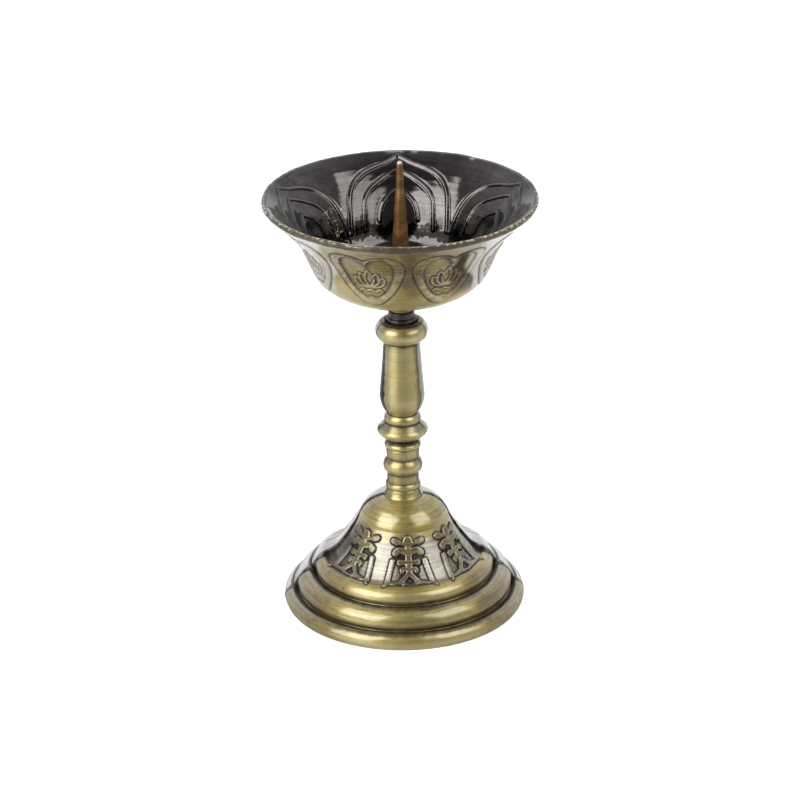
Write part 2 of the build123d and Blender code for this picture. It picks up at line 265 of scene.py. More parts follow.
class Turned:
    """A turned surface as a grid of rows along an outline and columns round the axis.

    What is known of the rows is kept as columns of values, and fields as grids from 0 to 1: black patina
    and painted shade, bright worn metal and painted highlights, the bare plating called lining, and amber.
    """

    def __init__(self, node, columns, row_limit, extra_angles=()):
        points, self.closed = fine_outline(node)
        run, normals, radii = outline_measures(points, self.closed)
        spacing = np.clip(ROW_PER_ROOT_RADIUS * np.sqrt(radii), *PLAIN_ROWS)
        spacing = row_limit(*points.T, *normals.T, spacing)
        density = blurred(1 / spacing, 10, self.closed)
        total = np.concatenate([[0], np.cumsum(density[:-1] * np.diff(run))])
        count = int(math.ceil(total[-1]))
        wanted = np.linspace(0, total[-1], count, endpoint=not self.closed)
        places = np.interp(wanted, total, np.arange(len(points)))
        self.r, self.z = (self.along(places, axis) for axis in points.T)
        self.nr, self.nz = (self.along(places, axis) for axis in normals.T)
        self.run = self.along(places, run)
        self.cavity = self.along(places, outline_cavity(points, normals, self.closed))
        even = np.arange(columns) * TURN / columns - TURN / 2
        self.angles = np.sort(np.concatenate([even, np.array(extra_angles, float)]))
        shape = (len(self.r), len(self.angles))
        self.height, self.shift_r, self.shift_z = (np.zeros(shape) for _ in range(3))
        self.fields = {name: np.zeros(shape) for name in ("patina", "worn", "lining", "amber")}
        self.fields["run"] = np.repeat(self.run, shape[1], axis=1)

    @staticmethod
    def along(places, values):
        return np.interp(places, np.arange(len(values)), values)[:, None]

    def row_at(self, spot):
        """The row nearest to a point of radius and height."""
        return int(np.argmin((self.r - spot[0]) ** 2 + (self.z - spot[1]) ** 2))

    def at_least(self, name, amount):
        self.fields[name] = np.maximum(self.fields[name], amount)

    def darken(self, amount):
        self.at_least("patina", amount)

    def leave_bare(self, amount):
        self.at_least("lining", amount)

    def stain(self, amount):
        self.at_least("amber", amount)

    def brighten(self, amount):
        self.at_least("worn", amount)

    def fade(self, name, amount):
        self.fields[name] *= 1 - amount

    def places(self):
        """Every grid point in mm, with its relief."""
        r = self.r + self.nr * self.height + self.shift_r
        z = self.z + self.nz * self.height + self.shift_z
        angle = np.radians(self.angles)
        return np.stack([r * np.sin(angle), -r * np.cos(angle), z], axis=-1)


def outline_cavity(points, normals, closed):
    """How deep each point lies in a groove, in mm: below zero on a ridge."""
    depth = np.zeros(len(points))
    for sigma_mm, share in ((0.5, 1.0), (1.5, 0.6)):
        soft = np.column_stack([blurred(axis, sigma_mm / FINE_STEP, closed) for axis in points.T])
        depth += share * np.sum((soft - points) * normals, axis=1)
    return depth


def step_up(low, high, value):
    """A smooth step from 0 at low to 1 at high."""
    t = np.clip((value - low) / (high - low), 0, 1)
    return t * t * (3 - 2 * t)


def window(value, rise, fall):
    """1 between two smooth steps, one up and one down."""
    return step_up(*rise, value) * (1 - step_up(*fall, value))


def wrapped(angle):
    """Degrees brought into -180 to 180."""
    return (angle + TURN / 2) % TURN - TURN / 2


# Relief drawn on a turned surface

def smooth_path(points, per_leg=6):
    """A smooth curve through a few points, as close points."""
    points = np.array(points, float)
    if len(points) == 2:
        return points
    padded = np.vstack([2 * points[0] - points[1], points, 2 * points[-1] - points[-2]])
    made = []
    for a, b, c, d in zip(padded[:-3], padded[1:-2], padded[2:-1], padded[3:]):
        t = np.arange(per_leg)[:, None] / per_leg
        made.append(0.5 * (2 * b + (c - a) * t + (2 * a - 5 * b + 4 * c - d) * t**2
                           + (3 * b - a - 3 * c + d) * t**3))
    return np.vstack([*made, points[-1:]])


def both_sides(path):
    """A path and its mirror image about the motif's middle."""
    path = np.asarray(path, float)
    return [path, path * (-1, 1)]


def mirrored_loop(path):
    """A closed loop from a path and its mirror image."""
    return np.vstack([path, path[::-1] * (-1, 1)])


class Panel:
    """The stretch of a turned surface that holds one motif, from row to row, about a middle angle."""

    def __init__(self, grid, start, end, middle, half_angle):
        self.grid = grid
        ends = grid.row_at(start), grid.row_at(end)
        self.start = grid.run[ends[0]]
        self.length = grid.run[ends[1]] - self.start
        rows = np.arange(min(ends), max(ends) + 1)
        offsets = wrapped(grid.angles - middle)
        columns = np.where(np.abs(offsets) <= half_angle)[0]
        self.cells = np.ix_(rows, columns)
        self.offsets = offsets[columns]
        self.shares = (grid.run[rows] - self.start) / self.length
        self.points = self.spots(self.offsets, self.shares)

    def spots(self, angle, share):
        """Points in mm for angles and shares of the panel's length."""
        run = self.start + share * self.length
        r, z = (np.interp(run, self.grid.run[:, 0], axis[:, 0]) for axis in (self.grid.r, self.grid.z))
        angle = np.radians(angle)
        return np.stack(np.broadcast_arrays(r * np.sin(angle), -r * np.cos(angle), z), axis=-1)

    def distance(self, paths):
        """Distance in mm from every cell to the nearest of some paths."""
        nearest = np.full(self.points.shape[:2], np.inf)
        for path in paths:
            line = self.spots(path[:, 0], path[:, 1])
            for a, b in zip(line[:-1], line[1:]):
                leg = b - a
                offset = self.points - a
                share = np.clip(offset @ leg / max(leg @ leg, 1e-12), 0, 1)
                gap = offset - share[..., None] * leg
                np.minimum(nearest, np.sum(gap * gap, axis=-1), out=nearest)
        return np.sqrt(nearest)

    def within(self, loop):
        """Which cells lie inside a closed loop of angle and share."""
        x, y = np.broadcast_arrays(self.offsets, self.shares)
        inside = np.zeros(x.shape, bool)
        for (xa, ya), (xb, yb) in zip(loop, np.roll(loop, -1, 0)):
            if ya != yb:
                crosses = (ya > y) != (yb > y)
                inside ^= crosses & (x < xa + (y - ya) * (xb - xa) / (yb - ya))
        return inside

    def depth_in(self, path):
        """Distance in mm from a path's mirrored loop, below zero outside it."""
        gap = self.distance(both_sides(path))
        return np.where(self.within(mirrored_loop(path)), gap, -gap)

    def raise_by(self, amount):
        self.grid.height[self.cells] += amount

    def at_least(self, name, amount):
        values = self.grid.fields[name]
        values[self.cells] = np.maximum(values[self.cells], amount)

    def darken(self, amount):
        self.at_least("patina", amount)

    def brighten(self, amount):
        self.at_least("worn", amount)

    def paint(self, cover, **tones):
        """Brings fields to given tones where the cover is 1."""
        for name, tone in tones.items():
            values = self.grid.fields[name]
            values[self.cells] += cover * (tone - values[self.cells])


def panels_round(grid, start, end, count, first):
    """Equal panels side by side all round the axis."""
    pitch = TURN / count
    return [Panel(grid, start, end, first + k * pitch, pitch / 2) for k in range(count)]


def bump_profile(distance, half_width):
    """A rounded ridge: 1 on its line, 0 past its half width."""
    return np.clip(1 - (distance / half_width) ** 2, 0, 1) ** 1.5


def band_profile(distance, middle, half_width):
    """A soft band beside a line."""
    return np.exp(-((distance - middle) / half_width) ** 2)


def uneven(grid, amount, seed, wavelengths=(4.0, 14.0), waves=26):
    """Small unevenness of a casting, in mm, the same on each run."""
    rng = np.random.default_rng(seed)
    points = grid.places()
    field = np.zeros(points.shape[:2])
    for _ in range(waves):
        direction = rng.normal(size=3)
        direction /= np.linalg.norm(direction)
        pace = 2 * math.pi / rng.uniform(*wavelengths)
        field += np.sin(points @ direction * pace + rng.uniform(0, 2 * math.pi))
    return field * amount / math.sqrt(waves / 2)


def ragged(angles, seed, finest, fall):
    """An uneven value round the axis, about -1 to 1, from waves that fall off towards the finest."""
    rng = np.random.default_rng(seed)
    turns = np.unique(np.geomspace(2, finest, 14).astype(int))
    sizes = turns ** -fall
    value = sum(size * np.sin(np.radians(angles) * turn + rng.uniform(0, 2 * math.pi))
                for turn, size in zip(turns, sizes))
    return value / np.sqrt(np.sum(sizes**2))


def off_faces(grid):
    """Degrees from the front or the back, whichever is nearer."""
    return np.minimum(np.abs(grid.angles), TURN / 2 - np.abs(grid.angles))


def behind_seams(grid, seams):
    """Degrees behind the left and the right seam for every grid point."""
    heights, *sides = np.array(seams).T
    lines = [np.interp(grid.z, heights, side) for side in sides]
    return [wrapped(grid.angles - line) * np.sign(line[0]) for line in lines]


def unbrushed_strips(grid, seams):
    """1 on the strips behind both seams, fading out towards the back."""
    return np.maximum(*(window(behind, (0.0, 1.2), UNBRUSHED) for behind in behind_seams(grid, seams)))


def add_seams(grid, seams, bare, tone, line_width, seed):
    """Casting seams on both sides, with their black line and the bare plating behind them."""
    rng = np.random.default_rng(seed)
    outside = (grid.nr > -0.2) & (grid.nz > -0.6)
    strip = unbrushed_strips(grid, seams) * outside
    grid.leave_bare(bare * strip)
    grid.fields["patina"] += 0.95 * strip * (tone - grid.fields["patina"])
    for behind in behind_seams(grid, seams):
        wander = sum(
            rng.uniform(0.05, 0.16) * np.sin(grid.run * rng.uniform(0.3, 2.4) + rng.uniform(0, 6))
            for _ in range(6)
        )
        strength = step_up(-0.35, 0.25, wander) * outside
        off_line = np.radians(behind) * grid.r - 0.5 * wander
        grid.height += SEAM_HEIGHT * strength * bump_profile(off_line, 2.2 * SEAM_HALF_WIDTH)
        line = np.exp(-((off_line - SEAM_HALF_WIDTH) / line_width) ** 4)
        grid.darken(line * (0.85 + 0.15 * strength) * outside)


def fill_grooves(grid, start, end, weight, share):
    """Shifts an outline towards the line over its crests, by a share per row and a weight per point."""
    low, high = grid.row_at(start), grid.row_at(end)
    crests = [low]
    while crests[-1] < high:
        here = crests[-1]
        ahead = np.arange(here + 1, high + 1)
        headings = np.arctan2(grid.z[ahead] - grid.z[here], grid.r[ahead] - grid.r[here])
        crests.append(int(ahead[np.argmin(headings)]))
    rows = np.arange(low, high + 1)
    for shift, axis in ((grid.shift_r, grid.r), (grid.shift_z, grid.z)):
        line = np.interp(grid.run[rows], grid.run[crests, 0], axis[crests, 0])
        shift[rows] += share[rows] * (line - axis[rows]) * weight[rows]


def seam_columns(seams):
    """Extra column angles beside the seams, so that their fine ridge has a shape."""
    steps = np.array(SEAM_EXTRA_COLUMNS)
    angles = {angle for _, *pair in seams for angle in pair}
    return [angle + sign * step for angle in sorted(angles) for step in steps for sign in (-1, 1)]


# Motifs, drawn through points of degrees from their middle and shares of their panel's length

def foot_ornament(panel):
    """A palmette in a splayed bracket on the foot's flare, in strokes of a half width in mm and a path."""
    leaves = [
        (0.80, [(0, 0.82), (0, 0.71)]),
        (1.00, [(0, 0.70), (0, 0.50), (0, 0.33)]),
        (1.45, [(0, 0.84), (0, 0.878)]),
        (0.50, [(4.0, 0.825), (12.0, 0.85)]),
        (0.92, [(12.0, 0.853), (16.0, 0.876)]),
        (0.92, [(1.0, 0.675), (5.0, 0.71), (9.6, 0.722), (12.8, 0.69)]),
        (1.02, [(12.8, 0.69), (13.2, 0.67)]),
        (0.66, [(1.0, 0.515), (7.0, 0.52)]),
        (0.90, [(8.2, 0.52), (8.4, 0.51)]),
        (0.60, [(1.0, 0.39), (4.5, 0.41), (6.6, 0.39), (6.2, 0.355)]),
    ]
    bracket = [
        (0.80, [(15.8, 0.53), (17.0, 0.34), (17.9, 0.15)]),
        (0.78, [(17.2, 0.135), (18.0, 0.12)]),
        (0.52, [(18.2, 0.105), (19.0, 0.07)]),
        (0.30, [(19.0, 0.07), (19.9, 0.035)]),
        (0.58, [(18.0, 0.11), (13.2, 0.14), (9.0, 0.16), (5.6, 0.155), (2.8, 0.125), (0.0, 0.115)]),
        (0.70, [(0.6, 0.33), (3.5, 0.26), (7.2, 0.175)]),
    ]
    side = np.array([(0, 0.72), (13.6, 0.65), (15.2, 0.56), (17.6, 0.16), (8.0, 0.18), (0, 0.14)])
    ground = panel.within(mirrored_loop(side))
    panes = np.array([(14.8, 0.50), (10.6, 0.44), (8.6, 0.31), (9.4, 0.20), (16.8, 0.17)])
    pane = panel.within(panes) | panel.within(panes * (-1, 1))
    panel.paint(0.9 * (ground & ~pane), patina=0.72, lining=0.1)
    top = np.zeros(panel.points.shape[:2])
    edge = np.full(top.shape, np.inf)
    for strokes, bare, tone in ((leaves, 0.0, 0.42), (bracket, 0.5, 0.32)):
        for half_width, path in strokes:
            gap = panel.distance(both_sides(smooth_path(path)))
            stroke = 1 - step_up(0.72 * half_width, 1.2 * half_width, gap)
            rim = band_profile(gap, 0.80 * half_width, 0.22 * half_width)
            panel.paint(stroke, patina=tone, lining=bare)
            panel.paint(0.8 * rim * stroke, patina=0.08, lining=0.45)
            top = np.maximum(top, stroke)
            edge = np.minimum(edge, gap - 1.05 * half_width)
    panel.raise_by(ORNAMENT_HEIGHT * top)
    outline = band_profile(np.clip(edge, 0.08, None), 0.08, 0.26) * (1 - top)
    panel.paint(outline, patina=0.98, lining=0.0)


def heart_cartouche(panel, mottle):
    """A heart-shaped frame, mottled, round a lotus flower on the outside of the bowl."""
    outer = smooth_path([(0, 0.415), (7, 0.45), (14, 0.53), (18.7, 0.63), (20.2, 0.70), (20.0, 0.77),
                         (17.4, 0.845), (12, 0.89), (5, 0.875), (0, 0.835)])
    inner = smooth_path([(0, 0.515), (3.5, 0.505), (8.5, 0.545), (12.5, 0.62), (14.2, 0.70),
                         (13.9, 0.775), (11.8, 0.835), (8, 0.863), (3.5, 0.84), (0, 0.77)])
    in_outer, in_inner = panel.depth_in(outer), panel.depth_in(inner)
    for depth in (in_outer, in_inner):
        panel.raise_by(-0.16 * bump_profile(depth, 0.42))
    frame_band = np.clip(step_up(-0.1, 0.7, in_outer) - step_up(-0.1, 0.7, in_inner), 0, 1)
    panel.raise_by(0.24 * frame_band)
    stained = panel.grid.fields["amber"][panel.cells]
    spotted = mottle[panel.cells]
    panel.paint(0.8 * frame_band * spotted * (1 - 0.8 * stained), patina=0.08, lining=0.5)
    panel.darken(0.3 * frame_band * (1 - spotted))
    # Painted shade inside the inner line, beside the raised frame.
    panel.darken(0.42 * (in_inner > 0) * band_profile(in_inner, 0, 1.6))
    lines = np.maximum(band_profile(in_outer, 0, 0.33), band_profile(in_inner, 0, 0.33))
    panel.paint(0.9 * lines, patina=0.85, lining=0.0, amber=0.5)
    lotus = [
        [(0, 0.585), (2.4, 0.63), (2.0, 0.675), (0, 0.735)],
        [(0.8, 0.585), (4.6, 0.61), (5.7, 0.65), (4.8, 0.70), (2.6, 0.675)],
        [(1.4, 0.58), (6.4, 0.59), (8.6, 0.62), (8.4, 0.66), (5.8, 0.645)],
        [(0, 0.562), (3.0, 0.55), (5.6, 0.562), (7.2, 0.55)],
    ]
    gap = panel.distance([side for path in lotus for side in both_sides(smooth_path(path))])
    panel.raise_by(0.36 * bump_profile(gap, 0.46))
    panel.paint(0.8 * bump_profile(gap, 0.4) * (1 - 0.4 * stained), patina=0.1, lining=0.35)
    panel.darken(0.9 * band_profile(gap, 0.5, 0.2))


def inside_petal(panel):
    """Three nested pointed arches of one lotus petal on the inside of the bowl."""
    arches = [
        [(34.6, 0.49), (34, 0.53), (33, 0.58), (31.6, 0.64), (29.6, 0.71), (27, 0.765), (23, 0.82),
         (18, 0.861), (12.5, 0.89), (6, 0.921), (0, 0.968)],
        [(24.2, 0.485), (24, 0.51), (23, 0.58), (21.6, 0.655), (19, 0.712), (15, 0.757), (10, 0.797),
         (5, 0.835), (0, 0.868)],
        [(12.8, 0.54), (11.8, 0.595), (9.8, 0.647), (6.5, 0.688), (3, 0.716), (0, 0.736)],
    ]
    for arch in arches:
        gap = panel.distance(both_sides(smooth_path(arch)))
        panel.raise_by(0.36 * bump_profile(gap, 0.55) - 0.08 * band_profile(gap, 0.72, 0.2))
        # A thin dark line beside each bead as painted shade, and a painted highlight on its crest.
        panel.darken(0.95 * band_profile(gap, 0.68, 0.16))
        panel.brighten(0.5 * bump_profile(gap, 0.4))


def gold_flecks(panel, count, seed):
    """Small chips through the plating, down to the brass."""
    rng = np.random.default_rng(seed)
    rows, columns = panel.points.shape[:2]
    for _ in range(count):
        middle = panel.points[rng.integers(rows), rng.integers(columns)]
        gap = np.linalg.norm(panel.points - middle, axis=-1)
        fleck = 1 - step_up(0.6, 1.2, gap / rng.uniform(0.12, 0.36))
        panel.paint(fleck, lining=0.0, patina=0.05, worn=0.8)


# Meshes

def new_object(name, data):
    """An object in the scene for a mesh, a lamp or a camera."""
    made = bpy.data.objects.new(name, data)
    bpy.context.scene.collection.objects.link(made)
    return made


def turned_object(name, grid, node, body, material):
    """A closed mesh from a turned grid, with its fields as attributes, standing for a CAD node."""
    places = grid.places()
    rows, columns = places.shape[:2]
    index = np.arange(rows * columns).reshape(rows, columns)
    levels = grid.run[:, 0]
    if grid.closed:
        index = np.vstack([index, index[:1]])
        levels = np.append(levels, levels[-1] * (1 + 1 / rows))
    ring = np.roll(index, -1, axis=1)
    quads = np.stack([index[:-1], ring[:-1], ring[1:], index[1:]], axis=-1).reshape(-1, 4)
    mesh = bpy.data.meshes.new(name)
    mesh.from_pydata((places.reshape(-1, 3) * MM).tolist(), [], quads.tolist())
    bake_map(mesh, levels / levels[-1], columns)
    for field, values in grid.fields.items():
        layer = mesh.attributes.new(field, "FLOAT", "POINT")
        layer.data.foreach_set("value", values.astype(np.float32).ravel())
    if not grid.closed:
        close_ends(mesh, rows, columns)
    mesh.shade_smooth()
    mesh.materials.append(material)
    made = new_object(name, mesh)
    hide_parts(node)
    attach(made, body)


def bake_map(mesh, levels, columns):
    """A plain grid map for the faces: round the axis and along the outline."""
    across = np.arange(columns + 1) / columns
    left, right = across[:-1], across[1:]
    low, high = levels[:-1, None], levels[1:, None]
    corners = np.broadcast_arrays(left, low, right, low, right, high, left, high)
    layer = mesh.uv_layers.new(name="OFBake")
    layer.data.foreach_set("uv", np.stack(corners, axis=-1).astype(np.float32).ravel())


def close_ends(mesh, rows, columns):
    """Welds the first and the last row of an open outline to single points on the axis."""
    work = bmesh.new()
    work.from_mesh(mesh)
    work.verts.ensure_lookup_table()
    rings = [[work.verts[first + j] for j in range(columns)] for first in (0, (rows - 1) * columns)]
    for ring in rings:
        bmesh.ops.pointmerge(work, verts=ring, merge_co=ring[0].co)
    work.to_mesh(mesh)
    work.free()


# Node trees

class NodeTree:
    """A node tree being built. Most of its methods add a node and give that node's output."""

    def __init__(self, owner):
        owner.use_nodes = True
        self.tree = owner.node_tree
        self.tree.nodes.clear()

    def add(self, kind, inputs=None, **settings):
        """A shader node with its settings, and its inputs set or wired to other nodes' outputs."""
        made = self.tree.nodes.new("ShaderNode" + kind)
        for key, value in settings.items():
            setattr(made, key, value)
        for key, value in (inputs or {}).items():
            if isinstance(value, bpy.types.NodeSocket):
                self.tree.links.new(value, made.inputs[key])
            else:
                made.inputs[key].default_value = value
        return made

    def field(self, name):
        return self.add("Attribute", attribute_name=name).outputs["Fac"]

    def place(self):
        return self.add("TexCoord").outputs["Object"]

    def parts(self, vector):
        return self.add("SeparateXYZ", {0: vector}).outputs

    def maths(self, operation, a, b, clamp=False):
        return self.add("Math", {0: a, 1: b}, operation=operation, use_clamp=clamp).outputs[0]

    def times(self, a, b):
        return self.maths("MULTIPLY", a, b)

    def total(self, first, *others):
        for value in others:
            first = self.maths("ADD", first, value)
        return first

    def spread(self, value, low, high, out_low, out_high, **settings):
        """A value brought from one range to another."""
        return self.add("MapRange", {
            "Value": value, "From Min": low, "From Max": high, "To Min": out_low, "To Max": out_high,
        }, **settings).outputs[0]

    def noise(self, vector, scale, detail, roughness):
        return self.add("TexNoise", {
            "Vector": vector, "Scale": scale, "Detail": detail, "Roughness": roughness,
        }).outputs["Fac"]

    def blotches(self, scale, detail=3.0, roughness=0.6):
        """Noise that is the same in every direction."""
        return self.noise(self.place(), scale, detail, roughness)

    def brushed(self, across, along, detail=3.0, roughness=0.6):
        """Noise drawn out round the axis: close steps along the outline, long ones round it."""
        place = self.parts(self.place())
        line = self.times(self.field("run"), across)
        x, y = self.times(place[0], along), self.times(place[1], along)
        vector = self.add("CombineXYZ", {0: line, 1: x, 2: y}).outputs[0]
        return self.noise(vector, 1.0, detail, roughness)

    def cells(self, scale):
        return self.add("TexVoronoi", {"Vector": self.place(), "Scale": scale}).outputs

    def ramp(self, value, stops):
        """A colour for a value, from stops of place and colour."""
        made = self.add("ValToRGB", {0: value})
        elements = made.color_ramp.elements
        while len(elements) < len(stops):
            elements.new(0.5)
        for element, (place, colour) in zip(elements, stops):
            element.position = place
            element.color = (*colour, 1)
        return made.outputs[0]

    def blend(self, factor, a, b):
        """A mix of two values."""
        return self.add("Mix", {"Factor": factor, "A": a, "B": b}).outputs[0]

    def mixed(self, factor, a, b):
        """A mix of two colours."""
        return self.add("Mix", {0: factor, 6: a, 7: b}, data_type="RGBA").outputs[2]

    def bump(self, height, strength, distance):
        return self.add("Bump", {
            "Height": height, "Strength": strength, "Distance": distance,
        }).outputs[0]

    def light_path(self):
        """The kinds of ray, and which rays come from a mirroring or clear surface."""
        rays = self.add("LightPath").outputs
        return rays, self.maths("MAXIMUM", rays["Is Glossy Ray"], rays["Is Transmission Ray"])


class Material(NodeTree):
    """The node tree of a new material."""

    def __init__(self, name):
        self.made = bpy.data.materials.new(name)
        super().__init__(self.made)

    def output(self, shader):
        """The material, with its shader wired."""
        self.add("OutputMaterial", {"Surface": shader})
        return self.made

    def principled(self, **inputs):
        """The material, with its shader's inputs, named with _ for spaces."""
        named = {key.replace("_", " "): value for key, value in inputs.items()}
        return self.output(self.add("BsdfPrincipled", named).outputs[0])


# Materials

BRUSHED_SHADE = 0.25
BRASS_STOPS = [
    (0.0, (0.55, 0.465, 0.21)),
    (0.30, (0.40, 0.33, 0.118)),
    (0.52, (0.21, 0.167, 0.064)),
    (0.74, (0.074, 0.058, 0.038)),
    (1.0, (0.014, 0.012, 0.011)),
]
AMBER_STOPS = [
    (0.0, (0.55, 0.42, 0.13)),
    (0.30, (0.36, 0.262, 0.06)),
    (0.60, (0.15, 0.107, 0.026)),
    (1.0, (0.014, 0.011, 0.010)),
]
PLATING_STOPS = [
    (0.0, (0.58, 0.560, 0.550)),
    (0.30, (0.42, 0.401, 0.393)),
    (0.62, (0.17, 0.161, 0.158)),
    (0.80, (0.118, 0.111, 0.108)),
    (1.0, (0.010, 0.009, 0.008)),
]


def plating_shade(nodes, lines, lining):
    """How dark a plated surface is, from 0, bright, to 1, black: grooves and painted shade, wear and
    painted highlights, brush lines and blotches.
    """
    marks = nodes.total(
        nodes.spread(nodes.brushed(1.3, 22.0, 4.0), 0.3, 0.7, -lines, lines),
        nodes.spread(nodes.brushed(3.4, 110.0), 0.3, 0.7, -lines, lines),
        nodes.spread(nodes.blotches(95.0), 0.3, 0.7, -0.07, 0.09),
        nodes.spread(nodes.blotches(420.0), 0.3, 0.7, -0.07, 0.07),
        nodes.spread(nodes.blotches(900.0, 2.0, 0.5), 0.60, 0.75, 0.0, 0.13))
    marks = nodes.times(marks, nodes.spread(lining, 0.0, 1.0, 1.0, 0.35))
    black = nodes.times(nodes.field("patina"), 0.75)
    worn = nodes.times(nodes.field("worn"), 0.22)
    return nodes.maths("SUBTRACT", nodes.total(marks, BRUSHED_SHADE, black), worn, clamp=True)


def plated_brass(name, roughness, lines, scratch_depth, amber_share, lacquer_ior):
    """Brushed brass over a dark plating, which shows where the brush didn't reach; lacquered."""
    nodes = Material(name)
    lining = nodes.field("lining")
    shade = plating_shade(nodes, lines, lining)
    patches = nodes.spread(nodes.brushed(0.35, 60.0), 0.52, 0.72, 0.0, amber_share)
    amber = nodes.maths("MAXIMUM", patches, nodes.field("amber"))
    brass = nodes.mixed(amber, nodes.ramp(shade, BRASS_STOPS), nodes.ramp(shade, AMBER_STOPS))
    scratches = nodes.total(nodes.brushed(9.0, 60.0), nodes.times(nodes.blotches(1500.0, 2.0), 0.6))
    ripples = nodes.times(nodes.brushed(1.1, 60.0, 4.0, 0.65), 0.45)
    return nodes.principled(
        Base_Color=nodes.mixed(lining, brass, nodes.ramp(shade, PLATING_STOPS)),
        Metallic=nodes.blend(lining, nodes.spread(shade, 0.55, 0.95, 1.0, 0.0), 1.0),
        Roughness=nodes.blend(lining, nodes.spread(shade, 0.0, 1.0, roughness, 0.62), 0.10),
        Anisotropic=nodes.spread(lining, 0.0, 1.0, 0.45, 0.0),
        Anisotropic_Rotation=0.25,
        Tangent=nodes.add("Tangent", direction_type="RADIAL", axis="Z").outputs[0],
        IOR=nodes.spread(shade, 0.8, 1.0, 1.5, 1.02),
        Coat_Weight=nodes.spread(shade, 0.6, 0.85, 0.9, 0.04),
        Coat_Roughness=0.15,
        Coat_IOR=lacquer_ior,
        Normal=nodes.bump(nodes.blend(lining, scratches, ripples), scratch_depth, 0.00012))


def dark_brass():
    """Blackened satin brass of the collar."""
    nodes = Material("dark_brass_satin")
    rings = nodes.brushed(5.0, 20.0)
    shade = nodes.total(nodes.spread(rings, 0.3, 0.7, 0.0, 0.5),
                        nodes.spread(nodes.blotches(300.0), 0.35, 0.7, 0.0, 0.5))
    return nodes.principled(
        Base_Color=nodes.ramp(shade, [(0.0, (0.030, 0.028, 0.026)), (0.6, (0.10, 0.096, 0.085)),
                                      (1.0, (0.20, 0.19, 0.16))]),
        Metallic=1.0,
        Roughness=nodes.spread(rings, 0.3, 0.7, 0.24, 0.4),
        Normal=nodes.bump(rings, 0.25, 0.00012))


def spike_metal():
    """Copper-washed steel, tarnished brown, with grinding marks round the taper."""
    nodes = Material("spike_metal_tarnished")
    marks = nodes.brushed(3.0, 120.0, 4.0, 0.65)
    mottle = nodes.blotches(420.0, 4.0, 0.65)
    shade = nodes.total(nodes.spread(mottle, 0.3, 0.7, 0.0, 0.6), nodes.spread(marks, 0.3, 0.7, 0.0, 0.4))
    colour = nodes.ramp(shade, [(0.0, (0.13, 0.068, 0.028)), (0.5, (0.36, 0.192, 0.082)),
                                (1.0, (0.52, 0.32, 0.16))])
    return nodes.principled(
        # Pale where the tip is painted as a highlight.
        Base_Color=nodes.mixed(nodes.field("worn"), colour, (0.75, 0.68, 0.60, 1)),
        Metallic=1.0,
        Roughness=nodes.spread(shade, 0.0, 1.0, 0.64, 0.5),
        Normal=nodes.bump(nodes.total(marks, mottle), 0.3, 0.00015))


def copper():
    """Soft copper, dulled in patches."""
    nodes = Material("copper_washer")
    tarnish = nodes.blotches(500.0, 4.0)
    return nodes.principled(
        Base_Color=nodes.ramp(tarnish, [(0.3, (0.62, 0.30, 0.17)), (0.7, (0.20, 0.085, 0.05))]),
        Metallic=1.0,
        Roughness=nodes.spread(tarnish, 0.3, 0.7, 0.25, 0.5),
        Normal=nodes.bump(tarnish, 0.2, 0.0001))


def leather():
    """Oiled leather with fine pores."""
    nodes = Material("oiled_leather")
    pores = nodes.cells(2600.0)["Distance"]
    tone = nodes.blotches(400.0)
    return nodes.principled(
        Base_Color=nodes.ramp(tone, [(0.3, (0.035, 0.02, 0.012)), (0.7, (0.10, 0.058, 0.032))]),
        Roughness=nodes.spread(pores, 0.0, 0.7, 0.45, 0.7),
        Normal=nodes.bump(pores, 0.4, 0.0001))


def steel():
    """Zinc-plated steel, dulled, with crystal spangle and faint rust."""
    nodes = Material("zinc_steel")
    spangle = nodes.add("SeparateColor", {0: nodes.cells(1300.0)["Color"]}).outputs[0]
    rust = nodes.blotches(350.0, 4.0, 0.65)
    zinc = nodes.ramp(spangle, [(0.0, (0.34, 0.34, 0.33)), (1.0, (0.58, 0.58, 0.56))])
    return nodes.principled(
        Base_Color=nodes.mixed(nodes.spread(rust, 0.58, 0.72, 0.0, 0.8), zinc, (0.16, 0.075, 0.03, 1)),
        Metallic=nodes.spread(rust, 0.58, 0.72, 1.0, 0.4),
        Roughness=nodes.spread(rust, 0.4, 0.7, 0.32, 0.65),
        Normal=nodes.bump(rust, 0.2, 0.0001))


def pale_paper():
    """Pale paper, lifted to white for the camera and, away from the object, in its reflections."""
    nodes = Material("pale_paper")
    tone = nodes.ramp(nodes.blotches(700.0), [(0.3, (0.74, 0.74, 0.74)), (0.7, (0.78, 0.78, 0.78))])
    paper = nodes.add("BsdfPrincipled", {
        "Base Color": tone, "Roughness": 0.18, "Specular IOR Level": 0.8,
    })
    rays, mirrored = nodes.light_path()
    depth = nodes.parts(nodes.place())[1]
    away = nodes.add("VectorMath", {0: nodes.place()}, operation="LENGTH").outputs["Value"]
    open_floor = nodes.times(nodes.spread(away, 0.045, 0.10, 0.0, 1.0),
                             nodes.spread(depth, -0.11, -0.04, 0.0, 0.25))
    lift = nodes.total(nodes.times(rays["Is Camera Ray"], 0.7), nodes.times(mirrored, open_floor))
    glow = nodes.add("Emission", {"Strength": lift})
    both = nodes.add("AddShader", {0: paper.outputs[0], 1: glow.outputs[0]})
    return nodes.output(both.outputs[0])


# Pieces

def base_rows(r, z, nr, nz, spacing):
    """Close rows on the ornamented flare, few rows inside the hollow."""
    flare = (nr > 0) & (nz > 0) & (z > FLARE_LOW[1]) & (z < FLARE_HIGH[1])
    spacing = np.where(flare, RELIEF_ROW, spacing)
    return np.where((nr < -0.05) | (nz < -0.95), HIDDEN_ROW, spacing)


def stem_rows(r, z, nr, nz, spacing):
    return np.where(nr < -0.3, HIDDEN_ROW, np.minimum(spacing, STEM_ROW))


def bowl_rows(r, z, nr, nz, spacing):
    """Close rows on both carved walls."""
    return np.where((r > CARVED_FROM[0]) & (z > CARVED_FROM[1]), RELIEF_ROW, spacing)


